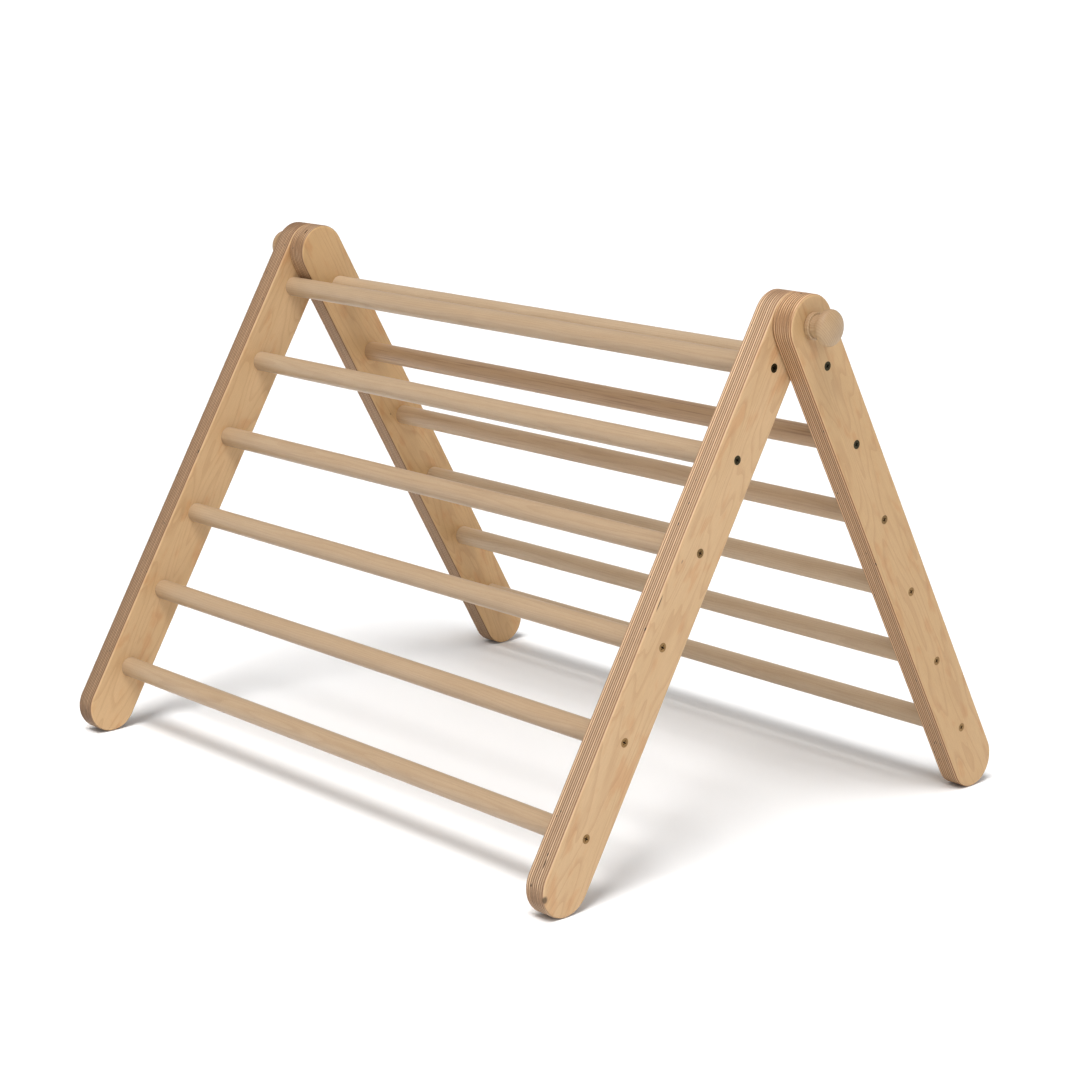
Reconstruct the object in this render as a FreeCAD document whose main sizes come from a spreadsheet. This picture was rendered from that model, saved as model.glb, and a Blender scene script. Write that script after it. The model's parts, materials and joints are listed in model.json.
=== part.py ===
import FreeCAD, Part
import os

import Sketcher

# Folding wooden climbing frame: two ladder frames that stand as an A and turn about a hinge line at the top.
# Millimetres. +X runs along the hinge line, -Y is the front, +Z is up. The origin is on the floor, under the
# middle of the hinge line. Each frame has an inner rail on one side and an outer rail on the other, so the
# front frame is the rear frame turned half a turn about Z, and the rails lie side by side at the top.

X_AXIS = FreeCAD.Vector(1, 0, 0)
Z_AXIS = FreeCAD.Vector(0, 0, 1)

SIZES = [
    ("overall_width", 863.0),           # over the outer faces of the outer rails
    ("leg_angle", 30.25),               # each frame from the vertical, degrees
    ("rail_width", 65.0),
    ("rail_thickness", 27.0),           # nineteen plies of birch
    ("rail_gap", 0.3),                  # between the rails that lie side by side
    ("rail_edge_radius", 3.0),
    ("foot_distance", 624.0),           # hinge line to the centre of the rail's round foot
    ("rung_count", 6),
    ("rung_pitch", 104.0),
    ("first_rung_distance", 52.0),      # hinge line to the first rung
    ("rung_diameter", 24.0),
    ("rung_end_chamfer", 1.0),
    ("socket_depth", 8.0),
    ("socket_clearance", 0.05),         # on the radius
    ("socket_end_clearance", 0.1),
    ("screw_diameter", 5.0),
    ("screw_head_diameter", 10.0),
    ("screw_head_sink", 0.15),          # head's top below the rail's face
    ("screw_length", 60.0),
    ("screw_tip_length", 6.0),
    ("screw_clearance", 0.05),          # on the radius
    ("cross_span", 5.4),
    ("cross_arm_width", 1.3),
    ("cross_depth", 1.8),
    ("stud_diameter", 8.0),
    ("stud_depth_in_knob", 20.0),
    ("stud_depth_in_insert", 14.0),
    ("stud_chamfer", 0.8),
    ("stud_rail_clearance", 0.3),       # stud in the outer rail, on the radius
    ("stud_fit_clearance", 0.05),       # stud in the knob and in the insert, on the radius
    ("insert_diameter", 12.0),
    ("insert_length", 15.0),
    ("insert_sink", 0.5),
    ("insert_ring_count", 5),
    ("insert_ring_height", 0.8),
    ("insert_hole_depth", 18.0),
    ("insert_clearance", 0.05),         # on the radius
    ("knob_gap", 0.3),                  # knob's collar to the rail's face
    ("knob_length", 31.2),              # rail's face to the crown of the head
    ("knob_collar_diameter", 29.0),
    ("knob_collar_length", 6.2),
    ("knob_neck_diameter", 24.6),
    ("knob_neck_end", 12.5),
    ("knob_head_back", 20.1),
    ("knob_head_diameter", 38.9),
    ("knob_rim_length", 6.1),
    ("knob_cove_radius", 12.0),
    ("knob_collar_rounding", 1.2),
    ("knob_rim_rounding", 6.0),         # front edge of the rim, into the crown
    ("knob_rim_back_rounding", 1.0),
    ("knob_bore_depth", 21.0),
]

doc = FreeCAD.newDocument("climbing_frame")
sheet = doc.addObject("Spreadsheet::Sheet", "Sizes")
for row, (alias, number) in enumerate(SIZES, start=1):
    sheet.set("A%d" % row, alias)
    sheet.set("B%d" % row, str(number))
    sheet.setAlias("B%d" % row, alias)
doc.recompute()

# Formulas in the sheet's cells that more than one piece uses.
PIVOT_HEIGHT = "(Sizes.rail_width / 2 + Sizes.foot_distance * cos(Sizes.leg_angle * 1 deg))"
OUTER_RAIL_X = "(Sizes.overall_width / 2 - Sizes.rail_thickness)"
INNER_RAIL_X = "(Sizes.overall_width / 2 - 2 * Sizes.rail_thickness - Sizes.rail_gap)"
RUNG_OFFSET = "((Sizes.rail_thickness + Sizes.rail_gap) / 2)"
CLEAR_SPAN = "(%s + %s)" % (OUTER_RAIL_X, INNER_RAIL_X)
RUNG_LENGTH = "(%s + 2 * Sizes.socket_depth - 2 * Sizes.socket_end_clearance)" % CLEAR_SPAN
PATTERN_LENGTH = "((Sizes.rung_count - 1) * Sizes.rung_pitch)"
SCREW_HOLE_RADIUS = "(Sizes.screw_diameter / 2 + Sizes.screw_clearance)"

RUNG_COUNT = int(sheet.rung_count)
FRAME_TURN = {"front": -1, "rear": 1}
sub_parts = []


def value(formula):
    """The number that a formula in the sheet's cells gives now."""
    return float(sheet.evalExpression(formula))


def origin_feature(body, role):
    return next(item for item in body.Origin.OriginFeatures if item.Role == role)


def new_body(label):
    body = doc.addObject("PartDesign::Body", label)
    body.Label = label
    sub_parts.append(body)
    return body


def new_sketch(body, name, plane, offset=None):
    """A sketch on one of the body's origin planes, moved along the plane's normal by a formula."""
    sketch = body.newObject("Sketcher::SketchObject", name)
    sketch.AttachmentSupport = [(origin_feature(body, plane), "")]
    sketch.MapMode = "FlatFace"
    if offset is not None:
        sketch.setExpression("AttachmentOffset.Base.z", offset)
    return sketch


def bind(sketch, constraint, formula):
    index = sketch.addConstraint(constraint)
    sketch.setExpression("Constraints[%d]" % index, formula)


def pin_point(sketch, geometry, point, x_formula, y_formula):
    """Hold one sketch point at formulas for x and y, on the sketch's axis where one of them is zero."""
    for formula, kind, axis in ((x_formula, "DistanceX", -2), (y_formula, "DistanceY", -1)):
        if formula == "0":
            sketch.addConstraint(Sketcher.Constraint("PointOnObject", geometry, point, axis))
        else:
            constraint = Sketcher.Constraint(kind, -1, 1, geometry, point, value(formula))
            bind(sketch, constraint, formula)


def add_circle(sketch, x_formula, y_formula, radius_formula):
    centre = FreeCAD.Vector(value(x_formula), value(y_formula), 0)
    circle = Part.Circle(centre, Z_AXIS, value(radius_formula))
    geometry = sketch.addGeometry(circle, False)
    pin_point(sketch, geometry, 3, x_formula, y_formula)
    bind(sketch, Sketcher.Constraint("Radius", geometry, value(radius_formula)), radius_formula)


def arc_between(start, end, radius, swell):
    """The short arc of a radius from start to end; swell is +1 or -1 for the side that it bulges to."""
    chord = end - start
    across = FreeCAD.Vector(-chord.y, chord.x, 0).normalize()
    half = chord.Length / 2
    rise = radius - (radius ** 2 - half ** 2) ** 0.5
    middle = (start + end) * 0.5 + across * (swell * rise)
    return Part.Arc(start, middle, end)


def add_outline(sketch, corners):
    """A closed outline through corners (x, y), held by formulas; (x, y, radius, swell) starts an arc."""
    points = [FreeCAD.Vector(value(corner[0]), value(corner[1]), 0) for corner in corners]
    ends = []
    for index, corner in enumerate(corners):
        start = points[index]
        end = points[(index + 1) % len(points)]
        if len(corner) == 2:
            geometry = sketch.addGeometry(Part.LineSegment(start, end), False)
            ends.append((geometry, 1, 2))
        else:
            geometry = sketch.addGeometry(arc_between(start, end, value(corner[2]), corner[3]), False)
            turns_forward = corner[3] < 0
            ends.append((geometry, 1, 2) if turns_forward else (geometry, 2, 1))
            bind(sketch, Sketcher.Constraint("Radius", geometry, value(corner[2])), corner[2])
    for index, corner in enumerate(corners):
        geometry, first, last = ends[index]
        following, following_first, following_last = ends[(index + 1) % len(ends)]
        sketch.addConstraint(Sketcher.Constraint("Coincident", geometry, last, following, following_first))
        pin_point(sketch, geometry, first, corner[0], corner[1])


def pad(body, name, sketch, length, midplane=False):
    feature = body.newObject("PartDesign::Pad", name)
    feature.Profile = sketch
    feature.setExpression("Length", length)
    if midplane:
        feature.SideType = "Symmetric"
    return feature


def pocket(body, name, sketch, depth, along_normal=False):
    """Cut a sketch to a depth, against the sketch's normal or along it."""
    feature = body.newObject("PartDesign::Pocket", name)
    feature.Profile = sketch
    feature.setExpression("Length", depth)
    feature.Reversed = along_normal
    return feature


def revolve(body, name, sketch, role):
    feature = body.newObject("PartDesign::Revolution", name)
    feature.Profile = sketch
    feature.ReferenceAxis = (origin_feature(body, role), [""])
    feature.Angle = 360
    return feature


def dress(body, name, kind, base, edges, size_name, size):
    """A fillet or chamfer on some edges of the feature before it."""
    feature = body.newObject("PartDesign::" + kind, name)
    feature.Base = (base, edges)
    feature.setExpression(size_name, size)
    return feature


def edges_where(shape, test):
    return ["Edge%d" % number for number, edge in enumerate(shape.Edges, start=1) if test(edge)]


def is_flat_in_x(edge):
    return edge.BoundBox.XLength < 1e-4


def place_on_frame(body, frame, x_formula, distance_formula="0", faces_minus_x=False):
    """Hang a piece on a ladder frame: along X, and down the leg from the hinge line."""
    turn = FRAME_TURN[frame]
    down = "(%s)" % distance_formula
    body.setExpression("Placement.Base.x", x_formula)
    body.setExpression("Placement.Base.y", "%d * %s * sin(Sizes.leg_angle * 1 deg)" % (turn, down))
    body.setExpression("Placement.Base.z", "%s - %s * cos(Sizes.leg_angle * 1 deg)" % (PIVOT_HEIGHT, down))
    lean = FreeCAD.Rotation(X_AXIS, turn * value("Sizes.leg_angle"))
    half_turn = FreeCAD.Rotation(Z_AXIS, 180 if faces_minus_x else 0)
    body.Placement = FreeCAD.Placement(body.Placement.Base, lean * half_turn)


def side_sign(side):
    return "-1" if side == "left" else "1"


def is_outer(frame, side):
    """The front frame's outer rail is on the left, and the rear frame's is on the right."""
    return (frame, side) in (("front", "left"), ("rear", "right"))


def make_rail(frame, side):
    """A rail: X = 0 is the face that the rungs meet, and its outer face is at the thickness."""
    body = new_body("%s_rail_%s" % (frame, side))
    outline = new_sketch(body, body.Label + "_outline", "YZ_Plane")
    half_width = value("Sizes.rail_width") / 2
    foot = FreeCAD.Vector(0, -value("Sizes.foot_distance"), 0)
    top_arc = Part.ArcOfCircle(Part.Circle(FreeCAD.Vector(), Z_AXIS, half_width), 0, 3.14159265)
    foot_arc = Part.ArcOfCircle(Part.Circle(foot, Z_AXIS, half_width), 3.14159265, 6.2831853)
    sideways = FreeCAD.Vector(half_width, 0, 0)
    outline.addGeometry([
        top_arc,
        Part.LineSegment(sideways * -1, foot - sideways),
        foot_arc,
        Part.LineSegment(foot + sideways, sideways),
    ], False)
    for first, first_end, second, second_end in ((0, 2, 1, 1), (1, 2, 2, 1), (2, 2, 3, 1), (3, 2, 0, 1)):
        outline.addConstraint(Sketcher.Constraint("Tangent", first, first_end, second, second_end))
    outline.addConstraint(Sketcher.Constraint("Coincident", 0, 3, -1, 1))
    outline.addConstraint(Sketcher.Constraint("PointOnObject", 2, 3, -2))
    bind(outline, Sketcher.Constraint("Radius", 0, half_width), "Sizes.rail_width / 2")
    foot_limit = Sketcher.Constraint("DistanceY", -1, 1, 2, 3, -value("Sizes.foot_distance"))
    bind(outline, foot_limit, "-Sizes.foot_distance")
    board = pad(body, body.Label + "_board", outline, "Sizes.rail_thickness")
    doc.recompute()
    rounded = dress(body, body.Label + "_rounding", "Fillet", board, edges_where(board.Shape, is_flat_in_x),
                    "Radius", "Sizes.rail_edge_radius")
    rounded.Refine = True

    first_rung = "-Sizes.first_rung_distance"
    socket_sketch = new_sketch(body, body.Label + "_socket_sketch", "YZ_Plane")
    add_circle(socket_sketch, "0", first_rung, "Sizes.rung_diameter / 2 + Sizes.socket_clearance")
    socket = pocket(body, body.Label + "_socket", socket_sketch, "Sizes.socket_depth", along_normal=True)
    screw_sketch = new_sketch(body, body.Label + "_screw_sketch", "YZ_Plane", "Sizes.rail_thickness")
    add_circle(screw_sketch, "0", first_rung, SCREW_HOLE_RADIUS)
    screw_hole = pocket(body, body.Label + "_screw_hole", screw_sketch, "Sizes.rail_thickness")
    sink_sketch = new_sketch(body, body.Label + "_countersink_sketch", "XZ_Plane")
    sink_radius = "Sizes.screw_head_diameter / 2 + Sizes.screw_head_sink"
    face = "Sizes.rail_thickness"
    add_outline(sink_sketch, [
        (face, first_rung),
        (face, first_rung + " + " + sink_radius),
        ("%s - (%s)" % (face, sink_radius), first_rung),
    ])
    sink = body.newObject("PartDesign::Groove", body.Label + "_countersink")
    sink.Profile = sink_sketch
    sink_axis = new_sketch(body, body.Label + "_rung_line", "XZ_Plane")
    axis_line = Part.LineSegment(FreeCAD.Vector(0, value(first_rung), 0),
                                 FreeCAD.Vector(value(face), value(first_rung), 0))
    axis_index = sink_axis.addGeometry(axis_line, False)
    pin_point(sink_axis, axis_index, 1, "0", first_rung)
    pin_point(sink_axis, axis_index, 2, face, first_rung)
    sink.ReferenceAxis = (sink_axis, ["Edge1"])
    sink.Angle = 360
    doc.recompute()

    pattern = body.newObject("PartDesign::LinearPattern", body.Label + "_rung_pattern")
    pattern.Originals = [socket, screw_hole, sink]
    pattern.Direction = (origin_feature(body, "Z_Axis"), [""])
    pattern.Reversed = True
    pattern.setExpression("Length", PATTERN_LENGTH)
    pattern.setExpression("Occurrences", "Sizes.rung_count")
    body.Tip = pattern

    hinge_sketch = new_sketch(body, body.Label + "_hinge_sketch", "YZ_Plane", "Sizes.rail_thickness")
    if is_outer(frame, side):
        add_circle(hinge_sketch, "0", "0", "Sizes.stud_diameter / 2 + Sizes.stud_rail_clearance")
        pocket(body, body.Label + "_stud_hole", hinge_sketch, "Sizes.rail_thickness")
        place_on_frame(body, frame, side_sign(side) + " * " + OUTER_RAIL_X, faces_minus_x=side == "left")
    else:
        add_circle(hinge_sketch, "0", "0", "Sizes.insert_diameter / 2 + Sizes.insert_clearance")
        pocket(body, body.Label + "_insert_hole", hinge_sketch, "Sizes.insert_hole_depth")
        place_on_frame(body, frame, side_sign(side) + " * " + INNER_RAIL_X, faces_minus_x=side == "left")


def rung_distance(number):
    return "Sizes.first_rung_distance + %d * Sizes.rung_pitch" % (number - 1)


def make_rung(frame, number):
    """A dowel with chamfered ends and a pilot hole for the screw in each end."""
    body = new_body("%s_rung_%d" % (frame, number))
    circle = new_sketch(body, body.Label + "_circle", "YZ_Plane")
    add_circle(circle, "0", "0", "Sizes.rung_diameter / 2")
    dowel = pad(body, body.Label + "_dowel", circle, RUNG_LENGTH, midplane=True)
    doc.recompute()
    dress(body, body.Label + "_chamfer", "Chamfer", dowel, edges_where(dowel.Shape, is_flat_in_x),
          "Size", "Sizes.rung_end_chamfer")
    for side, along_normal in (("left", True), ("right", False)):
        end = side_sign(side) + " * " + RUNG_LENGTH + " / 2"
        pilot_sketch = new_sketch(body, "%s_pilot_sketch_%s" % (body.Label, side), "YZ_Plane", end)
        add_circle(pilot_sketch, "0", "0", SCREW_HOLE_RADIUS)
        pocket(body, "%s_pilot_%s" % (body.Label, side), pilot_sketch,
               "Sizes.screw_length - (Sizes.rail_thickness - Sizes.socket_depth)", along_normal)
    turn = FRAME_TURN[frame]
    place_on_frame(body, frame, "%d * %s" % (turn, RUNG_OFFSET), rung_distance(number))


def make_screws(frame, side):
    """The six countersunk screws of one rail, as one node: X = 0 is the rail's outer face."""
    body = new_body("%s_screws_%s" % (frame, side))
    profile = new_sketch(body, body.Label + "_profile", "XZ_Plane")
    top = "-Sizes.screw_head_sink"
    head_radius = "Sizes.screw_head_diameter / 2"
    shank_radius = "Sizes.screw_diameter / 2"
    tip = "-Sizes.screw_length"
    add_outline(profile, [
        (top, "0"),
        (top, head_radius),
        ("%s - (%s - %s)" % (top, head_radius, shank_radius), shank_radius),
        (tip + " + Sizes.screw_tip_length", shank_radius),
        (tip, "0"),
    ])
    shank = revolve(body, body.Label + "_turned", profile, "X_Axis")
    cross = new_sketch(body, body.Label + "_cross", "YZ_Plane", top)
    reach = "Sizes.cross_span / 2"
    arm = "Sizes.cross_arm_width / 2"
    minus_reach = "-(%s)" % reach
    minus_arm = "-(%s)" % arm
    add_outline(cross, [
        (reach, minus_arm), (reach, arm), (arm, arm), (arm, reach), (minus_arm, reach), (minus_arm, arm),
        (minus_reach, arm), (minus_reach, minus_arm), (minus_arm, minus_arm), (minus_arm, minus_reach),
        (arm, minus_reach), (arm, minus_arm),
    ])
    recess = pocket(body, body.Label + "_recess", cross, "Sizes.cross_depth")
    recess.TaperAngle = -8
    doc.recompute()
    row = body.newObject("PartDesign::LinearPattern", body.Label + "_row")
    row.Originals = [shank, recess]
    row.Direction = (origin_feature(body, "Z_Axis"), [""])
    row.Reversed = True
    row.setExpression("Length", PATTERN_LENGTH)
    row.setExpression("Occurrences", "Sizes.rung_count")
    body.Tip = row
    face = OUTER_RAIL_X if is_outer(frame, side) else INNER_RAIL_X
    face_formula = "%s * (%s + Sizes.rail_thickness)" % (side_sign(side), face)
    place_on_frame(body, frame, face_formula, rung_distance(1), faces_minus_x=side == "left")


def place_on_hinge(body, side):
    """X = 0 of the piece is the outer face of the outer rail, and +X points away from the frame."""
    body.setExpression("Placement.Base.x", side_sign(side) + " * Sizes.overall_width / 2")
    body.setExpression("Placement.Base.z", PIVOT_HEIGHT)
    turn = FreeCAD.Rotation(Z_AXIS, 180 if side == "left" else 0)
    body.Placement = FreeCAD.Placement(body.Placement.Base, turn)


def make_knob(side):
    """A turned knob: collar, waisted neck and a low domed head, with a blind bore for the stud."""
    body = new_body("knob_" + side)
    profile = new_sketch(body, body.Label + "_profile", "XZ_Plane")
    back = "Sizes.knob_gap"
    bore = "Sizes.stud_diameter / 2 + Sizes.stud_fit_clearance"
    collar = "Sizes.knob_collar_diameter / 2"
    neck = "Sizes.knob_neck_diameter / 2"
    head = "Sizes.knob_head_diameter / 2"
    rim_front = "Sizes.knob_head_back + Sizes.knob_rim_length"
    crown_rise = "(Sizes.knob_length - %s)" % rim_front.replace("+", "-")
    crown_radius = "((%s)^2 + %s^2) / (2 * %s)" % (head, crown_rise, crown_rise)
    add_outline(profile, [
        (back, bore),
        (back, collar),
        ("Sizes.knob_collar_length", collar),
        ("Sizes.knob_collar_length", neck),
        ("Sizes.knob_neck_end", neck, "Sizes.knob_cove_radius", -1),
        ("Sizes.knob_head_back", head),
        (rim_front, head, crown_radius, 1),
        ("Sizes.knob_length", "0"),
        ("Sizes.knob_bore_depth", "0"),
        ("Sizes.knob_bore_depth", bore),
    ])
    turned = revolve(body, body.Label + "_turned", profile, "X_Axis")
    doc.recompute()

    def is_ring(edge, radius_formula):
        return is_flat_in_x(edge) and abs(edge.BoundBox.ZMax - value(radius_formula)) < 1e-3

    collar_edges = edges_where(turned.Shape, lambda edge: is_ring(edge, collar))
    eased = dress(body, body.Label + "_collar_rounding", "Fillet", turned, collar_edges,
                  "Radius", "Sizes.knob_collar_rounding")
    doc.recompute()

    def ease_rim(before, name, place, radius):
        rim_edges = edges_where(before.Shape, lambda edge: is_ring(edge, head)
                                and abs(edge.BoundBox.XMin - value(place)) < 1e-3)
        after = dress(body, body.Label + name, "Fillet", before, rim_edges, "Radius", radius)
        doc.recompute()
        return after

    soft = ease_rim(eased, "_rim_back_rounding", "Sizes.knob_head_back", "Sizes.knob_rim_back_rounding")
    ease_rim(soft, "_rim_rounding", rim_front, "Sizes.knob_rim_rounding")
    place_on_hinge(body, side)


def make_stud(side):
    """The steel rod that turns with the knob, runs through the outer rail and screws into the insert."""
    body = new_body("knob_stud_" + side)
    inner_end = "-(Sizes.rail_thickness + Sizes.rail_gap + Sizes.insert_sink + Sizes.stud_depth_in_insert)"
    circle = new_sketch(body, body.Label + "_circle", "YZ_Plane", inner_end)
    add_circle(circle, "0", "0", "Sizes.stud_diameter / 2")
    rod = pad(body, body.Label + "_rod", circle, "Sizes.stud_depth_in_knob - (%s)" % inner_end)
    doc.recompute()
    dress(body, body.Label + "_chamfer", "Chamfer", rod, edges_where(rod.Shape, is_flat_in_x),
          "Size", "Sizes.stud_chamfer")
    place_on_hinge(body, side)


def make_insert(side):
    """The threaded insert that is pressed into the inner rail; rings stand for its coarse outer thread."""
    body = new_body("threaded_insert_" + side)
    profile = new_sketch(body, body.Label + "_profile", "XZ_Plane")
    mouth = "-(Sizes.rail_thickness + Sizes.rail_gap + Sizes.insert_sink)"
    bore = "Sizes.stud_diameter / 2 + Sizes.stud_fit_clearance"
    crest = "Sizes.insert_diameter / 2"
    root = "Sizes.insert_diameter / 2 - Sizes.insert_ring_height"
    ring_pitch = "Sizes.insert_length / (2 * Sizes.insert_ring_count + 1)"
    corners = [(mouth, bore), (mouth, root)]
    for step in range(1, 2 * int(sheet.insert_ring_count) + 1):
        place = "%s - %d * %s" % (mouth, step, ring_pitch)
        before, after = (root, crest) if step % 2 else (crest, root)
        corners += [(place, before), (place, after)]
    back = mouth + " - Sizes.insert_length"
    corners += [(back, root), (back, bore)]
    add_outline(profile, corners)
    revolve(body, body.Label + "_turned", profile, "X_Axis")
    place_on_hinge(body, side)


def check_and_write():
    """Stop if an object failed, a cut removed nothing or a piece is not sound; then write the pieces."""
    doc.recompute()
    failed = [item.Label for item in doc.Objects if {"Invalid", "Error"} & set(item.State)]
    for item in doc.Objects:
        if item.TypeId in ("PartDesign::Pocket", "PartDesign::Groove", "PartDesign::LinearPattern"):
            grows = item.TypeId == "PartDesign::LinearPattern" and "screws" in item.Label
            base = item.BaseFeature.Shape.Volume
            if (item.Shape.Volume - base) * (1 if grows else -1) < 1.0:
                failed.append(item.Label + " changes nothing")
    for body in sub_parts:
        solids = RUNG_COUNT if "screws" in body.Label else 1
        if body.Shape.isNull() or not body.Shape.isValid() or len(body.Shape.Solids) != solids:
            failed.append(body.Label + " is not sound")
    if failed:
        raise RuntimeError("; ".join(failed))
    os.makedirs("parts", exist_ok=True)
    for body in sub_parts:
        body.Shape.exportStep("parts/%s.step" % body.Label)
    print("%d pieces written" % len(sub_parts))


SIDES = ("left", "right")
for frame in FRAME_TURN:
    for side in SIDES:
        make_rail(frame, side)
        make_screws(frame, side)
    for number in range(1, RUNG_COUNT + 1):
        make_rung(frame, number)
for side in SIDES:
    make_knob(side)
    make_stud(side)
    make_insert(side)
check_and_write()
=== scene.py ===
"""Folding wooden climbing frame: the looks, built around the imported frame. Metres, +Z up, -Y is the front."""
import json
import math

import bmesh
import bpy
from mathutils import Matrix, Vector


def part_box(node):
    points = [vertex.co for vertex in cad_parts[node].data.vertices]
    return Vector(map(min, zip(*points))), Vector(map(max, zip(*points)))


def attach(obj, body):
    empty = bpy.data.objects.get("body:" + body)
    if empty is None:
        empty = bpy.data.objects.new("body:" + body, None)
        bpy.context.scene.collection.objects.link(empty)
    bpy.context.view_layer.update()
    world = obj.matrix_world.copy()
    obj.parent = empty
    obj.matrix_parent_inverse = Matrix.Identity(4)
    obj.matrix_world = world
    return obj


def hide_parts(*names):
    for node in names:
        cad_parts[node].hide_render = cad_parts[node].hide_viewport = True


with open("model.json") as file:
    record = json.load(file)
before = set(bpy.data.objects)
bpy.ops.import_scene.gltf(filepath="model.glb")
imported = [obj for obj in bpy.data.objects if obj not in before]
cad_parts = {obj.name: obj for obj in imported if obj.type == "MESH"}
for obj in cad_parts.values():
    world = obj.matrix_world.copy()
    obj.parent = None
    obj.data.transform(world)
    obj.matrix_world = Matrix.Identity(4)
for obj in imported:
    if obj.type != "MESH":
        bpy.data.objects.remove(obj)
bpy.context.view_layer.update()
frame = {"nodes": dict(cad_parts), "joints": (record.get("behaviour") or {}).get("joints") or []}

MM = 0.001

# ---------------------------------------------------------------- the frame's own measures

hinge = Vector(next(joint["pos_m"] for joint in frame["joints"] if joint["name"] == "frame_fold"))
LEG_ANGLE = math.radians(30.25)
RAIL_THICKNESS = 27.0               # mm
PLY_COUNT = 19
FRAME_TURN = {"front": -1, "rear": 1}
SIDES = ("left", "right")


def node_middle(name):
    low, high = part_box(name)
    return (Vector(low) + Vector(high)) / 2


# ---------------------------------------------------------------- material helpers

def linear(hex_colour):
    """An sRGB hex colour as the linear colour that a shader takes."""
    channels = [int(hex_colour[i:i + 2], 16) / 255 for i in (1, 3, 5)]
    return tuple(c / 12.92 if c <= 0.04045 else ((c + 0.055) / 1.055) ** 2.4 for c in channels) + (1.0,)


def add(tree, kind, inputs=None, **settings):
    """Add a node, set it up, and give each input a number, one socket or another node's first output."""
    node = tree.nodes.new(kind)
    for name, setting in settings.items():
        setattr(node, name, setting)
    for key, source in (inputs or {}).items():
        if isinstance(source, bpy.types.Node):
            source = next(socket for socket in source.outputs if socket.enabled)
        if isinstance(source, bpy.types.NodeSocket):
            tree.links.new(source, node.inputs[key])
        else:
            node.inputs[key].default_value = source
    return node


def new_material(name):
    material = bpy.data.materials.new(name)
    material.use_nodes = True
    material.node_tree.nodes.clear()
    return material, material.node_tree


def new_group(name, inputs, outputs):
    """A node group with these sockets; gives its tree, its input node and its output node."""
    tree = bpy.data.node_groups.new(name, "ShaderNodeTree")
    for side, sockets in (("INPUT", inputs), ("OUTPUT", outputs)):
        for socket_name, kind in sockets.items():
            tree.interface.new_socket(socket_name, in_out=side, socket_type="NodeSocket" + kind)
    return tree, tree.nodes.new("NodeGroupInput"), tree.nodes.new("NodeGroupOutput")


def dress(name, material):
    """Give a carried-over CAD node its finish."""
    node = frame["nodes"][name]
    node.data.materials.clear()
    node.data.materials.append(material)


# ---------------------------------------------------------------- birch plywood

FACE_SHRINK = 0.998                 # keeps the board's faces just inside the outer plies
LOG_STEP = 3.71                     # how far every pattern moves from one ply to the next
YEARS_IN_SWELL = 17.0               # level lines over the figure's full height
GAP_SIZE = 9.0                      # mm, of the dashes where strips don't meet
GAP_LOG_STEP = 1.63
PAINTED_SHADE_FOOT_Z, PAINTED_SHADE_TOP_Z = -620.0, -60.0   # mm along the leg from the hinge: where the painted shade near the floor is deepest, and where it has gone
FIBRE_LOW, FIBRE_HIGH = 0.25, 0.75  # the part of the fibre noise that tints the wood
PLY_BUMP = 0.06 * MM


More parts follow.
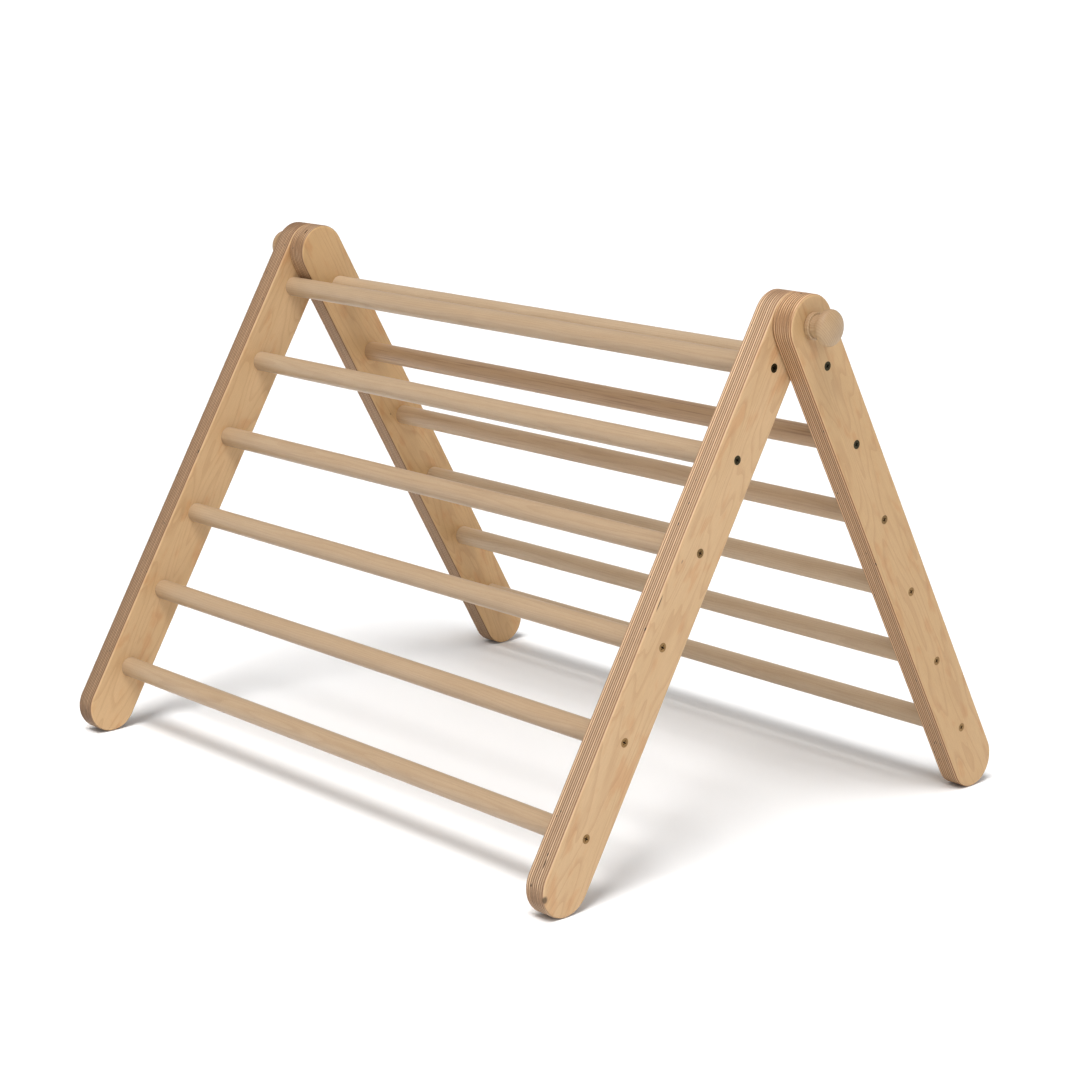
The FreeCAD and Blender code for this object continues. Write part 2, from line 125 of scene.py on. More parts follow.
def make_plywood_group():
    """Nineteen crossed plies of birch, worked out from the place in the board and the face's direction.

    Place is in mm: X through the thickness from the board's middle, Y across the board, Z along it.
    """
    tree, given, result = new_group("birch_plies", {"Place": "Vector", "Normal": "Vector", "Seed": "Float",
                                                    "Face Tint": "Color", "Edge Tint": "Color"},
                                    {"Color": "Color", "Roughness": "Float", "Height": "Float"})
    ply_thickness = RAIL_THICKNESS / PLY_COUNT
    place = add(tree, "ShaderNodeSeparateXYZ", {0: given.outputs["Place"]})
    facing = add(tree, "ShaderNodeVectorMath", {0: given.outputs["Normal"]}, operation="ABSOLUTE")
    facing = add(tree, "ShaderNodeSeparateXYZ", {0: facing})

    # Which ply this is.
    depth = add(tree, "ShaderNodeMath", {0: place.outputs["X"], 1: FACE_SHRINK / ply_thickness,
                                         2: PLY_COUNT / 2}, operation="MULTIPLY_ADD")
    ply = add(tree, "ShaderNodeMath", {0: depth}, operation="FLOOR")
    crossed = add(tree, "ShaderNodeMath", {0: ply, 1: 2.0}, operation="MODULO")
    in_ply = add(tree, "ShaderNodeMath", {0: depth}, operation="FRACT")
    from_glue = add(tree, "ShaderNodeMath", {0: in_ply, 1: 0.5}, operation="PINGPONG")
    glue = add(tree, "ShaderNodeMapRange", {"Value": from_glue, "From Min": 0.03, "From Max": 0.14,
                                            "To Min": 1.0, "To Max": 0.0})

    # End grain shows where the ply's fibres run out of the surface.
    end = add(tree, "ShaderNodeMix", {"Factor": crossed, "A": facing.outputs["Z"], "B": facing.outputs["Y"]})
    end_grain = add(tree, "ShaderNodeMapRange", {"Value": end, "From Min": 0.15, "From Max": 0.9},
                    interpolation_type="SMOOTHSTEP")
    on_face = add(tree, "ShaderNodeMapRange",
                  {"Value": facing.outputs["X"], "From Min": 0.55, "From Max": 0.85},
                  interpolation_type="SMOOTHSTEP")

    # Each ply is cut from another log: its number moves every pattern below.
    log = add(tree, "ShaderNodeMath", {0: ply, 1: LOG_STEP, 2: given.outputs["Seed"]},
              operation="MULTIPLY_ADD")
    tone = add(tree, "ShaderNodeTexWhiteNoise", {"W": log}, noise_dimensions="1D")

    along = add(tree, "ShaderNodeMix", {"Factor": crossed, "A": place.outputs["Z"], "B": place.outputs["Y"]})
    across = add(tree, "ShaderNodeMix", {"Factor": crossed, "A": place.outputs["Y"], "B": place.outputs["Z"]})

    patterns = {}
    for name, grain_across, grain_along, detail in (
            ("fibre", 0.7, 16.0, 3.0),
            ("fleck", 0.5, 4.0, 1.0),
            ("streak", 2.6, 70.0, 2.0),
            ("patch", 15.0, 44.0, 2.0),
            ("cloud", 34.0, 150.0, 1.0),
            ("figure", 44.0, 300.0, 1.5)):
        grain_place = add(tree, "ShaderNodeCombineXYZ", {
            "X": add(tree, "ShaderNodeMath", {0: across, 1: 1 / grain_across}, operation="MULTIPLY"),
            "Y": add(tree, "ShaderNodeMath", {0: along, 1: 1 / grain_along}, operation="MULTIPLY"),
            "Z": log})
        patterns[name] = add(tree, "ShaderNodeTexNoise",
                             {"Vector": grain_place, "Scale": 1.0, "Detail": detail, "Roughness": 0.55})

    # Flame figure of peeled veneer: level lines of a long slow swell, one dark line for each year.
    years = add(tree, "ShaderNodeMath", {0: patterns["figure"], 1: YEARS_IN_SWELL}, operation="MULTIPLY")
    wander = add(tree, "ShaderNodeMath", {0: patterns["patch"], 1: 0.35, 2: years}, operation="MULTIPLY_ADD")
    year = add(tree, "ShaderNodeMath", {0: wander}, operation="FRACT")
    year_line = add(tree, "ShaderNodeMapRange", {"Value": year, "From Min": 0.55, "From Max": 1.0},
                    interpolation_type="SMOOTHERSTEP")
    patch = add(tree, "ShaderNodeMapRange", {"Value": patterns["patch"], "From Min": 0.54, "From Max": 0.70},
                interpolation_type="SMOOTHSTEP")
    fleck = add(tree, "ShaderNodeMapRange", {"Value": patterns["fleck"], "From Min": 0.62, "From Max": 0.74},
                interpolation_type="SMOOTHSTEP")

    veneer = add(tree, "ShaderNodeMix", {"Factor": patterns["cloud"], "A": linear("#cfaf88"),
                                         "B": linear("#c6a47a")}, data_type="RGBA")
    layers = (
        (patch, 0.38, "#c08a58"),       # warm heartwood patches
        (year_line, 0.22, "#a2764c"),   # latewood of the flame figure
        (fleck, 0.16, "#9b7048"),       # pores
    )
    for amount, strength, colour in layers:
        share = add(tree, "ShaderNodeMath", {0: amount, 1: strength}, operation="MULTIPLY")
        veneer = add(tree, "ShaderNodeMix", {"Factor": share, "A": veneer, "B": linear(colour)},
                     data_type="RGBA")
    veneer = add(tree, "ShaderNodeMix", {"Factor": 1.0, "A": veneer, "B": given.outputs["Face Tint"]},
                 data_type="RGBA", blend_type="MULTIPLY")

    # The board's edge: pale long fibres, brown end grain, a dark glue line between them.
    edge_tone = add(tree, "ShaderNodeMapRange", {"Value": tone, "To Min": 0.70, "To Max": 1.10})
    side_cut = add(tree, "ShaderNodeMix", {"Factor": patterns["streak"], "A": linear("#e6ccad"),
                                           "B": linear("#c8a684")}, data_type="RGBA")
    end_cut = add(tree, "ShaderNodeMix", {"Factor": patterns["streak"], "A": linear("#a88461"),
                                          "B": linear("#846245")}, data_type="RGBA")
    edge = add(tree, "ShaderNodeMix", {"Factor": end_grain, "A": side_cut, "B": end_cut}, data_type="RGBA")
    edge = add(tree, "ShaderNodeMix", {"Factor": 1.0, "A": edge, "B": edge_tone}, data_type="RGBA",
               blend_type="MULTIPLY")
    glue_share = add(tree, "ShaderNodeMath", {0: glue, 1: 0.45}, operation="MULTIPLY")
    edge = add(tree, "ShaderNodeMix", {"Factor": glue_share, "A": edge, "B": linear("#6b4a35")},
               data_type="RGBA")
    edge = add(tree, "ShaderNodeMix", {"Factor": 1.0, "A": edge, "B": given.outputs["Edge Tint"]},
               data_type="RGBA", blend_type="MULTIPLY")
    # Painted shade near the floor: the edges are darkened towards the feet.
    painted_foot_shade = add(tree, "ShaderNodeMapRange", {"Value": place.outputs["Z"], "From Min": PAINTED_SHADE_FOOT_Z,
                                                  "From Max": PAINTED_SHADE_TOP_Z, "To Min": 0.86, "To Max": 1.02})
    edge = add(tree, "ShaderNodeMix", {"Factor": 1.0, "A": edge, "B": painted_foot_shade}, data_type="RGBA",
               blend_type="MULTIPLY")

    # Gaps where two strips of an inner ply don't meet: short dark dashes on the edge.
    gap_place = add(tree, "ShaderNodeCombineXYZ", {
        "X": add(tree, "ShaderNodeMath", {0: place.outputs["Y"], 1: 1 / GAP_SIZE}, operation="MULTIPLY"),
        "Y": add(tree, "ShaderNodeMath", {0: place.outputs["Z"], 1: 1 / GAP_SIZE}, operation="MULTIPLY"),
        "Z": add(tree, "ShaderNodeMath", {0: log, 1: GAP_LOG_STEP}, operation="MULTIPLY")})
    gap_noise = add(tree, "ShaderNodeTexNoise", {"Vector": gap_place, "Scale": 1.0, "Detail": 0.0})
    gap = add(tree, "ShaderNodeMapRange", {"Value": gap_noise, "From Min": 0.80, "From Max": 0.83})
    gap = add(tree, "ShaderNodeMath", {0: gap, 1: crossed}, operation="MULTIPLY")
    edge = add(tree, "ShaderNodeMix", {"Factor": gap, "A": edge, "B": linear("#2c1b10")}, data_type="RGBA")

    colour = add(tree, "ShaderNodeMix", {"Factor": on_face, "A": edge, "B": veneer}, data_type="RGBA")
    fibre_tone = add(tree, "ShaderNodeMapRange", {"Value": patterns["fibre"], "From Min": FIBRE_LOW,
                                                  "From Max": FIBRE_HIGH, "To Min": 0.93, "To Max": 1.06})
    colour = add(tree, "ShaderNodeMix", {"Factor": 1.0, "A": colour, "B": fibre_tone}, data_type="RGBA",
                 blend_type="MULTIPLY")
    roughness = add(tree, "ShaderNodeMapRange", {"Value": end_grain, "To Min": 0.50, "To Max": 0.72})
    pit = add(tree, "ShaderNodeMath", {0: glue, 1: fleck}, operation="MAXIMUM")
    height = add(tree, "ShaderNodeMath", {0: pit, 1: -0.6, 2: patterns["fibre"]}, operation="MULTIPLY_ADD")
    for name, source in (("Color", colour), ("Roughness", roughness), ("Height", height)):
        tree.links.new(next(socket for socket in source.outputs if socket.enabled), result.inputs[name])
    return tree


# Each rail: a seed for its figure, then a tint for its faces and one for its edges. The left rails' edges and
# the rear right rail's face are tinted darker.
RAIL_LOOKS = {
    "front_right": (11.0, "#f8f6f4", "#fdf9f6"),
    "rear_right": (47.0, "#efeae0", "#f9ecdc"),
    "front_left": (3.0, "#fffcf6", "#d0c6bc"),
    "rear_left": (29.0, "#f8f0e0", "#ded4c8"),
}

# Small dark marks: the middle and the half size of each, in the board's own millimetres from the hinge, and
# how dark it is.
KNOCKS = {
    "front_right": (((393.2, -32.5, -601.0), (0.9, 2.0, 2.2), 0.9),
                    ((394.4, -32.5, -610.7), (0.8, 2.0, 5.4), 0.9),
                    ((385.9, -31.0, -635.3), (1.2, 4.0, 1.8), 0.8),
                    ((404.2, -23.5, -644.5), (2.6, 4.0, 4.8), 0.75),
                    ((404.2, -29.1, -325.8), (1.5, 0.9, 9.6), 0.85),
                    ((404.2, -20.8, -277.1), (1.5, 0.9, 2.4), 0.5)),
    "rear_left": (((-377.2, -17.3, -246.5), (1.5, 1.0, 1.6), 0.5),),
}


def make_rail_material(frame_name, side, group):
    """Birch plywood, sanded and oiled: matt, warm, with flame figure on the faces and striped edges."""
    material, tree = new_material("sanded_birch_plywood_%s_%s" % (frame_name, side))
    lean = -FRAME_TURN[frame_name] * LEG_ANGLE
    middle = Vector((node_middle("%s_rail_%s" % (frame_name, side)).x, hinge.y, hinge.z))
    spot = add(tree, "ShaderNodeTexCoord")
    from_hinge = add(tree, "ShaderNodeVectorMath", {0: spot.outputs["Object"], 1: middle},
                     operation="SUBTRACT")
    along_leg = add(tree, "ShaderNodeVectorRotate", {"Vector": from_hinge, "Angle": lean},
                    rotation_type="X_AXIS")
    in_mm = add(tree, "ShaderNodeVectorMath", {0: along_leg, "Scale": 1 / MM}, operation="SCALE")
    normal = add(tree, "ShaderNodeVectorRotate", {"Vector": spot.outputs["Normal"], "Angle": lean},
                 rotation_type="X_AXIS")
    seed, face_tint, edge_tint = RAIL_LOOKS[frame_name + "_" + side]
    plies = add(tree, "ShaderNodeGroup", {"Place": in_mm, "Normal": normal, "Seed": seed,
                                          "Face Tint": linear(face_tint), "Edge Tint": linear(edge_tint)},
                node_tree=group)
    colour = plies.outputs["Color"]
    for place, half_size, darkness in KNOCKS.get(frame_name + "_" + side, ()):
        board_place = Vector(place) - Vector((middle.x / MM, 0, 0))
        knock = add(tree, "ShaderNodeVectorMath", {0: in_mm, 1: board_place}, operation="SUBTRACT")
        knock = add(tree, "ShaderNodeVectorMath", {0: knock, 1: half_size}, operation="DIVIDE")
        knock = add(tree, "ShaderNodeVectorMath", {0: knock}, operation="LENGTH")
        share = add(tree, "ShaderNodeMapRange", {"Value": knock.outputs["Value"], "From Min": 0.6,
                                                 "From Max": 1.1, "To Min": darkness, "To Max": 0.0})
        colour = add(tree, "ShaderNodeMix", {"Factor": share, "A": colour, "B": linear("#2a190d")},
                     data_type="RGBA")
    bump = add(tree, "ShaderNodeBump", {"Height": plies.outputs["Height"], "Strength": 0.5,
                                        "Distance": PLY_BUMP})
    shader = add(tree, "ShaderNodeBsdfPrincipled", {"Base Color": colour,
                                                    "Roughness": plies.outputs["Roughness"], "Normal": bump,
                                                    "IOR": 1.5, "Specular IOR Level": 0.35})
    add(tree, "ShaderNodeOutputMaterial", {"Surface": shader})
    return material


# ---------------------------------------------------------------- beech dowel and turned beech

RING_SWELL = 7.0                    # growth rings that the slow swell moves a layer by
BEECH_BUMP = 0.05 * MM


def make_beech_group():
    """Straight-grained beech, worked out from the place in the piece, in mm with X along the grain."""
    tree, given, result = new_group("beech_grain", {"Place": "Vector", "Normal": "Vector", "Seed": "Float",
                                                    "Brown": "Float", "Streaks": "Float",
                                                    "Ring Width": "Float", "Ring Contrast": "Float",
                                                    "Tint": "Color"},
                                    {"Color": "Color", "Roughness": "Float", "Height": "Float"})
    shift = add(tree, "ShaderNodeCombineXYZ", {"X": given.outputs["Seed"], "Y": given.outputs["Seed"],
                                               "Z": given.outputs["Seed"]})
    patterns = {}
    for name, grain_across, grain_along, detail in (
            ("fibre", 0.8, 26.0, 3.0),
            ("fleck", 0.55, 3.2, 1.0),
            ("streak", 2.4, 130.0, 2.0),
            ("cloud", 16.0, 90.0, 2.0),
            ("swell", 26.0, 240.0, 1.0)):
        stretch = (1 / grain_along, 1 / grain_across, 1 / grain_across)
        stretched = add(tree, "ShaderNodeVectorMath", {0: given.outputs["Place"], 1: stretch, 2: shift},
                        operation="MULTIPLY_ADD")
        patterns[name] = add(tree, "ShaderNodeTexNoise", {"Vector": stretched, "Scale": 1.0, "Detail": detail,
                                                          "Roughness": 0.55})

    # Growth rings cross the piece as nearly flat layers, a ring's width in mm apart.
    place = add(tree, "ShaderNodeSeparateXYZ", {0: given.outputs["Place"]})
    layer = add(tree, "ShaderNodeMath", {0: place.outputs["Z"], 1: given.outputs["Ring Width"]},
                operation="DIVIDE")
    layer = add(tree, "ShaderNodeMath", {0: patterns["swell"], 1: RING_SWELL, 2: layer},
                operation="MULTIPLY_ADD")
    year = add(tree, "ShaderNodeMath", {0: layer}, operation="FRACT")
    year_line = add(tree, "ShaderNodeMapRange", {"Value": year, "From Min": 0.3, "From Max": 1.0},
                    interpolation_type="SMOOTHERSTEP")
    fleck = add(tree, "ShaderNodeMapRange", {"Value": patterns["fleck"], "From Min": 0.60, "From Max": 0.72},
                interpolation_type="SMOOTHSTEP")
    streak = add(tree, "ShaderNodeMapRange",
                 {"Value": patterns["streak"], "From Min": 0.52, "From Max": 0.68},
                 interpolation_type="SMOOTHSTEP")
    streak = add(tree, "ShaderNodeMath", {0: streak, 1: given.outputs["Streaks"]}, operation="MULTIPLY")
    year_line = add(tree, "ShaderNodeMath", {0: year_line, 1: given.outputs["Ring Contrast"]},
                    operation="MULTIPLY")

    pale = add(tree, "ShaderNodeMix", {"Factor": patterns["cloud"], "A": linear("#b9a184"),
                                       "B": linear("#ae9373")}, data_type="RGBA")
    colour = add(tree, "ShaderNodeMix", {"Factor": given.outputs["Brown"], "A": pale, "B": linear("#ab8761")},
                 data_type="RGBA")
    layers = (
        (year_line, 1.00, "#8c6847"),   # latewood
        (streak, 0.55, "#7c5538"),      # brown heart streaks
        (fleck, 0.22, "#8f6542"),       # the short flecks of beech
    )
    for amount, strength, layer_colour in layers:
        share = add(tree, "ShaderNodeMath", {0: amount, 1: strength}, operation="MULTIPLY")
        colour = add(tree, "ShaderNodeMix", {"Factor": share, "A": colour, "B": linear(layer_colour)},
                     data_type="RGBA")
    fibre_tone = add(tree, "ShaderNodeMapRange", {"Value": patterns["fibre"], "From Min": FIBRE_LOW,
                                                  "From Max": FIBRE_HIGH, "To Min": 0.93, "To Max": 1.05})
    colour = add(tree, "ShaderNodeMix", {"Factor": 1.0, "A": colour, "B": fibre_tone}, data_type="RGBA",
                 blend_type="MULTIPLY")
    colour = add(tree, "ShaderNodeMix", {"Factor": 1.0, "A": colour, "B": given.outputs["Tint"]},
                 data_type="RGBA", blend_type="MULTIPLY")

    # The cut ends are browner and rougher.
    facing = add(tree, "ShaderNodeVectorMath", {0: given.outputs["Normal"]}, operation="ABSOLUTE")
    facing = add(tree, "ShaderNodeSeparateXYZ", {0: facing})
    end_grain = add(tree, "ShaderNodeMapRange",
                    {"Value": facing.outputs["X"], "From Min": 0.35, "From Max": 1.0})
    end_share = add(tree, "ShaderNodeMath", {0: end_grain, 1: 0.45}, operation="MULTIPLY")
    colour = add(tree, "ShaderNodeMix", {"Factor": end_share, "A": colour, "B": linear("#856243")},
                 data_type="RGBA")
    roughness = add(tree, "ShaderNodeMapRange", {"Value": end_grain, "To Min": 0.42, "To Max": 0.7})
    height = add(tree, "ShaderNodeMath", {0: fleck, 1: -0.5, 2: patterns["fibre"]}, operation="MULTIPLY_ADD")
    for name, source in (("Color", colour), ("Roughness", roughness), ("Height", height)):
        tree.links.new(next(socket for socket in source.outputs if socket.enabled), result.inputs[name])
    return tree


def make_beech_material(name, group, middle, grain_turns, seed, brown, streaks, rings):
    """Beech, turned and oiled: matt to silky, pinkish cream, with short flecks.

    grain_turns are (axis, angle) pairs that bring the piece's own grain to X, and rings is the width,
    contrast and tint of its growth rings.
    """
    ring_width, ring_contrast, tint = rings
    material, tree = new_material(name)
    spot = add(tree, "ShaderNodeTexCoord")
    place = add(tree, "ShaderNodeVectorMath", {0: spot.outputs["Object"], 1: middle}, operation="SUBTRACT")
    place = add(tree, "ShaderNodeVectorMath", {0: place, "Scale": 1 / MM}, operation="SCALE")
    normal = spot.outputs["Normal"]
    for axis, angle in grain_turns:
        place = add(tree, "ShaderNodeVectorRotate", {"Vector": place, "Angle": angle}, rotation_type=axis)
        normal = add(tree, "ShaderNodeVectorRotate", {"Vector": normal, "Angle": angle}, rotation_type=axis)
    grain = add(tree, "ShaderNodeGroup", {"Place": place, "Normal": normal, "Seed": seed, "Brown": brown,
                                          "Streaks": streaks, "Ring Width": ring_width,
                                          "Ring Contrast": ring_contrast, "Tint": linear(tint)},
                node_tree=group)
    bump = add(tree, "ShaderNodeBump", {"Height": grain.outputs["Height"], "Strength": 0.5,
                                        "Distance": BEECH_BUMP})
    shader = add(tree, "ShaderNodeBsdfPrincipled", {"Base Color": grain.outputs["Color"],
                                                    "Roughness": grain.outputs["Roughness"], "Normal": bump,
                                                    "IOR": 1.5, "Specular IOR Level": 0.65})
    add(tree, "ShaderNodeOutputMaterial", {"Surface": shader})
    return material


# ---------------------------------------------------------------- metals

ROUGHNESS_SPREAD = 0.12             # from the smoothest blotch to the roughest
METAL_BUMP = 0.02 * MM
SCREW_BLOTCH = 4.0 * MM
RECESS_SHADE_FROM, RECESS_SHADE_TO = 0.1 * MM, 0.6 * MM   # below the head's face, where the painted shade in the cross recess begins and where it is full
PAINTED_REFLECTION_LOW, PAINTED_REFLECTION_HIGH = 0.30, 0.42         # metres up, where the painted dark reflection on the screw heads begins and where it is full


def make_metal(name, pale, dark, roughness, blotch_size):
    """A plated or blackened steel: two tones in soft blotches, with a roughness that follows them."""
    material, tree = new_material(name)
    spot = add(tree, "ShaderNodeTexCoord")
    blotch = add(tree, "ShaderNodeTexNoise", {"Vector": spot.outputs["Object"],
                                              "Scale": 1 / (blotch_size * MM), "Detail": 3.0})
    tone = add(tree, "ShaderNodeMapRange", {"Value": blotch, "From Min": 0.35, "From Max": 0.65})
    colour = add(tree, "ShaderNodeMix", {"Factor": tone, "A": linear(pale), "B": linear(dark)},
                 data_type="RGBA")
    rough = add(tree, "ShaderNodeMapRange", {"Value": blotch, "From Min": 0.3, "From Max": 0.7,
                                             "To Min": roughness, "To Max": roughness + ROUGHNESS_SPREAD})
    bump = add(tree, "ShaderNodeBump", {"Height": blotch, "Strength": 0.2, "Distance": METAL_BUMP})
    shader = add(tree, "ShaderNodeBsdfPrincipled", {"Base Color": colour, "Roughness": rough, "Normal": bump,
                                                    "Metallic": 1.0})
    add(tree, "ShaderNodeOutputMaterial", {"Surface": shader})
    return material


def make_screw_material(row):
    """Bronzed steel wood screws with tan, waxy heads. The heads are painted near black towards the hinge as a
    painted dark reflection, and the cross recess is painted dark as painted shade."""
    material, tree = new_material("bronzed_steel_" + row)
    low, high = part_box(row)
    head_face = max(abs(low[0]), abs(high[0]))
    spot = add(tree, "ShaderNodeTexCoord")
    place = add(tree, "ShaderNodeSeparateXYZ", {0: spot.outputs["Object"]})
    across = add(tree, "ShaderNodeMath", {0: place.outputs["X"]}, operation="ABSOLUTE")
    depth = add(tree, "ShaderNodeMath", {0: head_face, 1: across}, operation="SUBTRACT")
    painted_recess_shade = add(tree, "ShaderNodeMapRange", {"Value": depth, "From Min": RECESS_SHADE_FROM, "From Max": RECESS_SHADE_TO})
    # Painted reflection: the heads higher up are painted near black, standing in for the darker surroundings
    # they mirror.
    painted_dark_reflection = add(tree, "ShaderNodeMapRange",
                {"Value": place.outputs["Z"], "From Min": PAINTED_REFLECTION_LOW, "From Max": PAINTED_REFLECTION_HIGH},
                interpolation_type="SMOOTHSTEP")
    blotch = add(tree, "ShaderNodeTexNoise", {"Vector": spot.outputs["Object"], "Scale": 1 / SCREW_BLOTCH,
                                              "Detail": 3.0})
    tan = add(tree, "ShaderNodeMix", {"Factor": blotch, "A": linear("#9c7a50"), "B": linear("#765a38")},
              data_type="RGBA")
    black = add(tree, "ShaderNodeMix", {"Factor": blotch, "A": linear("#46402c"), "B": linear("#262218")},
                data_type="RGBA")
    colour = add(tree, "ShaderNodeMix", {"Factor": painted_dark_reflection, "A": tan, "B": black}, data_type="RGBA")
    # Painted shade: the cross recess below the head's face is painted near black.
    colour = add(tree, "ShaderNodeMix", {"Factor": painted_recess_shade, "A": colour, "B": linear("#0e0a07")},
                 data_type="RGBA")
    rough = add(tree, "ShaderNodeMapRange", {"Value": painted_recess_shade, "To Min": 0.36, "To Max": 0.8})
    bump = add(tree, "ShaderNodeBump", {"Height": blotch, "Strength": 0.2, "Distance": METAL_BUMP})
    shader = add(tree, "ShaderNodeBsdfPrincipled", {"Base Color": colour, "Roughness": rough, "Normal": bump,
                                                    "Metallic": 1.0})
    add(tree, "ShaderNodeOutputMaterial", {"Surface": shader})
    return material


# ---------------------------------------------------------------- camera, light and floor

CAMERA_PLACE = Vector((2.05701, -1.91302, 0.94680))
CAMERA_TURN = math.radians(46.705)
CAMERA_RAISE = math.radians(13.614)
CAMERA_ROLL = math.radians(0.532)
SENSOR_WIDTH = 36
LENS = 81.67
FLOOR_REACH = 60.0                  # metres
LIGHT_AIM = Vector((0, 0, 0.3))
SUN_PLACE = Vector((0.18, -0.38, 1.0)) * 3
SUN_ENERGY = 3.05
SUN_ANGLE = math.radians(26)
BOX_PLACE = Vector((2.3, -0.9, 1.3))
BOX_ENERGY = 7.0
BOX_SIZE = 0.9
SKY_LOW, SKY_HIGH = 0.02, 0.22      # the sky dims between these heights of the view direction
SKY_DIM = 0.42


def make_camera():
    back = Vector((math.sin(CAMERA_TURN) * math.cos(CAMERA_RAISE),
                   -math.cos(CAMERA_TURN) * math.cos(CAMERA_RAISE), math.sin(CAMERA_RAISE)))
    right = Vector((math.cos(CAMERA_TURN), math.sin(CAMERA_TURN), 0))
    up = back.cross(right)
    turn = Matrix((right, up, back)).transposed() @ Matrix.Rotation(CAMERA_ROLL, 3, "Z")
    data = bpy.data.cameras.new("camera")
    data.sensor_width = SENSOR_WIDTH
    data.lens = LENS
    camera = bpy.data.objects.new("camera", data)
    camera.matrix_world = Matrix.Translation(CAMERA_PLACE) @ turn.to_4x4()
    bpy.context.scene.collection.objects.link(camera)
    bpy.context.scene.camera = camera


def make_light(name, kind, place, energy, **settings):
    data = bpy.data.lights.new(name, kind)
    data.energy = energy
    for setting, number in settings.items():
        setattr(data, setting, number)
    light = bpy.data.objects.new(name, data)
    light.location = place
    light.rotation_euler = (LIGHT_AIM - light.location).to_track_quat("-Z", "Y").to_euler()
    bpy.context.scene.collection.objects.link(light)


def make_studio():
    """A white room: an even sky, one broad high light from the front right, and a soft box on the right."""
    material, tree = new_material("pale_paper_floor")
    fibre = add(tree, "ShaderNodeTexNoise", {"Scale": 900.0, "Detail": 2.0})
    tone = add(tree, "ShaderNodeMix", {"Factor": fibre, "A": linear("#f5f5f5"), "B": linear("#f8f8f8")},
               data_type="RGBA")
    shader = add(tree, "ShaderNodeBsdfPrincipled", {"Base Color": tone, "Roughness": 0.9})
    add(tree, "ShaderNodeOutputMaterial", {"Surface": shader})
    mesh = bpy.data.meshes.new("floor")
    corners = [(x * FLOOR_REACH, y * FLOOR_REACH, 0) for x, y in ((-1, -1), (1, -1), (1, 1), (-1, 1))]
    mesh.from_pydata(corners, [], [(0, 1, 2, 3)])
    floor = bpy.data.objects.new("floor", mesh)
    floor.data.materials.append(material)
    bpy.context.scene.collection.objects.link(floor)
    world = bpy.data.worlds.new("studio")
    world.use_nodes = True
    way = add(world.node_tree, "ShaderNodeTexCoord")
    way = add(world.node_tree, "ShaderNodeSeparateXYZ", {0: way.outputs["Generated"]})
    height = add(world.node_tree, "ShaderNodeMapRange",
                 {"Value": way.outputs["Z"], "From Min": SKY_LOW, "From Max": SKY_HIGH,
                  "To Min": 1.0, "To Max": SKY_DIM}, interpolation_type="SMOOTHSTEP")
    world.node_tree.links.new(height.outputs[0], world.node_tree.nodes["Background"].inputs["Strength"])
    world.node_tree.nodes["Background"].inputs["Color"].default_value = linear("#ffffff")
    bpy.context.scene.world = world
    bpy.context.scene.view_settings.view_transform = "Standard"
    make_light("overhead_light", "SUN", SUN_PLACE, SUN_ENERGY, angle=SUN_ANGLE)
    make_light("soft_box", "AREA", BOX_PLACE, BOX_ENERGY, shape="DISK", size=BOX_SIZE)


make_camera()
make_studio()

# ---------------------------------------------------------------- finishes on the CAD nodes

plies = make_plywood_group()
beech = make_beech_group()
for frame_name in FRAME_TURN:
    for side in SIDES:
        dress("%s_rail_%s" % (frame_name, side), make_rail_material(frame_name, side, plies))

# Growth rings: how far apart in mm, how strongly they show, and the tint of that batch of beech. Rings 1.3 mm
# apart average away on the knobs at this view's size, so they are drawn twice as coarse.
RUNG_RINGS = {"front": (2.6, 0.16, "#f3f2f1"), "rear": (2.6, 0.16, "#ffffff")}
KNOB_RINGS = (2.6, 0.36, "#f7f3e7")
# How brown and how streaky each dowel is, from the top rung down.
RUNG_LOOKS = {
    "front": ((0.10, 0.1), (0.05, 0.1), (0.15, 0.25), (0.10, 0.1), (0.15, 0.1), (0.10, 0.1)),
    "rear": ((0.00, 0.1), (0.66, 1.0), (0.30, 0.4), (0.00, 0.15), (0.00, 0.15), (0.00, 0.15)),
}
SEED_STEP = 7.3
SEED_START = {"front": 0, "rear": 50}
TURN_STEP = 47                      # degrees from one dowel's grain to the next

for frame_name, looks in RUNG_LOOKS.items():
    for number, (brown, streaks) in enumerate(looks, start=1):
        rung = "%s_rung_%d" % (frame_name, number)
        seed = number * SEED_STEP + SEED_START[frame_name]
        turned = ("X_AXIS", math.radians(TURN_STEP * number))
        dress(rung, make_beech_material("planed_beech_dowel_" + rung, beech, node_middle(rung), [turned],
                                        seed, brown, streaks, RUNG_RINGS[frame_name]))

# The knobs are turned across the grain, so its lines run straight over the crown.
KNOB_GRAIN = (("X_AXIS", math.radians(47.8)), ("Z_AXIS", math.radians(-90)))
KNOB_SEED, KNOB_BROWN, KNOB_STREAKS = 5.0, 0.15, 0.1
for side in SIDES:
    knob = "knob_" + side
    dress(knob, make_beech_material("turned_beech_" + knob, beech, node_middle(knob), KNOB_GRAIN,
                                    KNOB_SEED, KNOB_BROWN, KNOB_STREAKS, KNOB_RINGS))

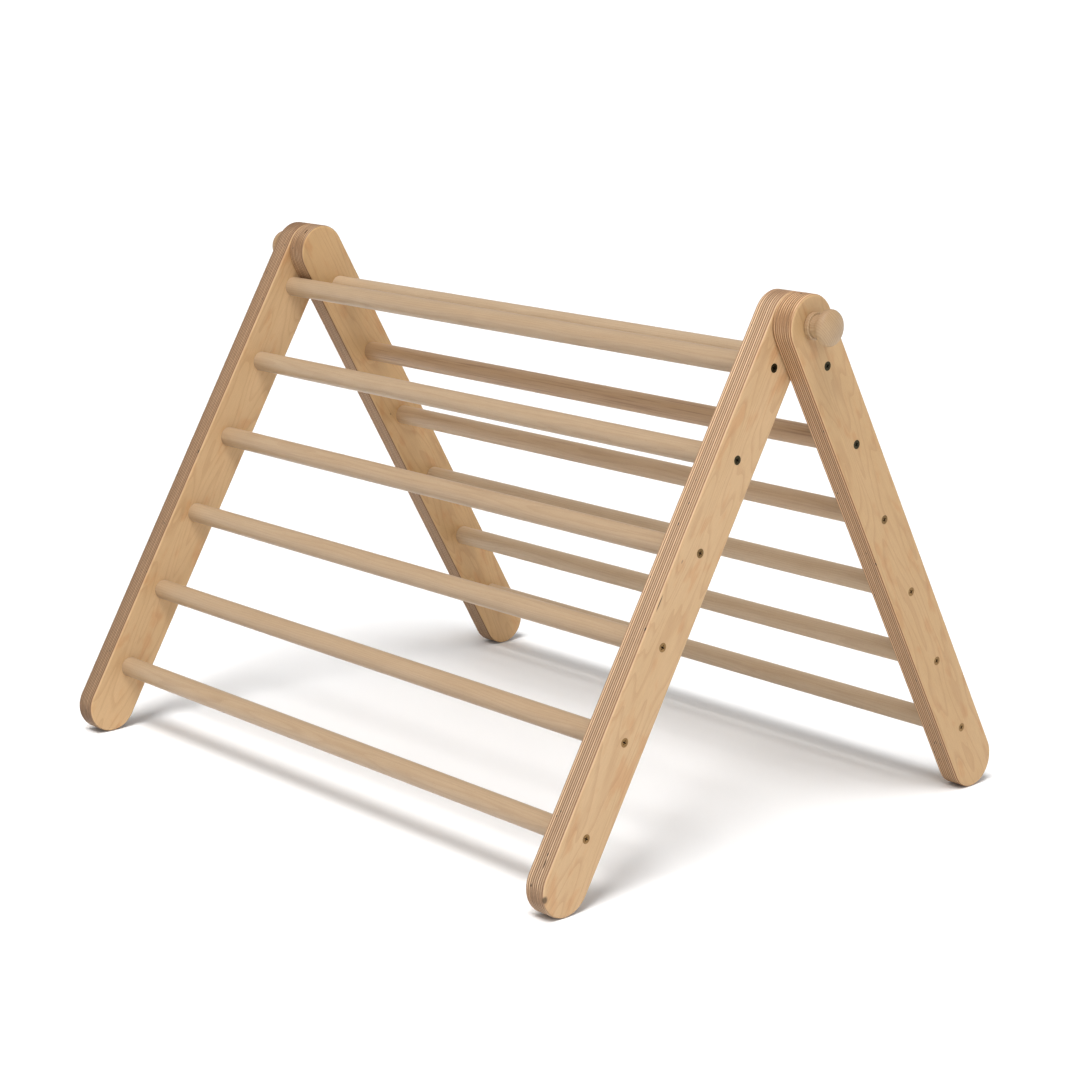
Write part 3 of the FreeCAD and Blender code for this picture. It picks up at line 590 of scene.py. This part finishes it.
zinc = make_metal("bright_zinc_on_steel", "#c8ccd0", "#a9aeb3", 0.28, 3.0)
yellow_zinc = make_metal("yellow_zinc_on_steel", "#d9c487", "#b89c62", 0.30, 3.0)
for name in frame["nodes"]:
    if "screws" in name:
        dress(name, make_screw_material(name))
    elif "stud" in name:
        dress(name, zinc)
    elif "insert" in name:
        dress(name, yellow_zinc)

# ---------------------------------------------------------------- threaded studs

THREAD_PITCH = 1.25 * MM            # M8 coarse
THREAD_DEPTH = 0.7 * MM
STEPS_A_TURN = 32
ROWS_A_PITCH = 8
FLANK_GAIN, FLANK_CUT = 1.25, 0.125     # flatten a tenth of the flank at the crest and at the root


def make_threaded_stud(side):
    """A rolled right-hand thread along the whole rod, eased to its root at both ends: one closed mesh."""
    low, high = (Vector(corner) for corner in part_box("knob_stud_" + side))
    middle = (low + high) / 2
    crest = (high.z - low.z) / 2
    rows = math.ceil((high.x - low.x) / THREAD_PITCH * ROWS_A_PITCH)
    thread = bmesh.new()
    rings = []
    for row in range(rows + 1):
        x = low.x + (high.x - low.x) * row / rows
        ease = min(1.0, (x - low.x) / THREAD_PITCH, (high.x - x) / THREAD_PITCH)
        ring = []
        for step in range(STEPS_A_TURN):
            turn = step / STEPS_A_TURN
            flank = abs(2 * (((x - low.x) / THREAD_PITCH - turn) % 1.0) - 1)
            rise = min(1.0, max(0.0, FLANK_GAIN * flank - FLANK_CUT)) * ease
            radius = crest - THREAD_DEPTH * (1 - rise)
            angle = 2 * math.pi * turn
            ring.append(thread.verts.new((x, middle.y + radius * math.cos(angle),
                                          middle.z + radius * math.sin(angle))))
        rings.append(ring)
    for ring, next_ring in zip(rings, rings[1:]):
        for step in range(STEPS_A_TURN):
            after = (step + 1) % STEPS_A_TURN
            thread.faces.new((ring[step], ring[after], next_ring[after], next_ring[step]))
    for end in (rings[0], rings[-1]):
        thread.faces.new(end)
    bmesh.ops.recalc_face_normals(thread, faces=thread.faces)
    name = "threaded_stud_" + side
    mesh = bpy.data.meshes.new(name)
    thread.to_mesh(mesh)
    thread.free()
    mesh.materials.append(zinc)
    stud = bpy.data.objects.new(name, mesh)
    bpy.context.scene.collection.objects.link(stud)
    return stud


for side in SIDES:
    stud = make_threaded_stud(side)
    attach(stud, "stud_" + side)
    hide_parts("knob_stud_" + side)
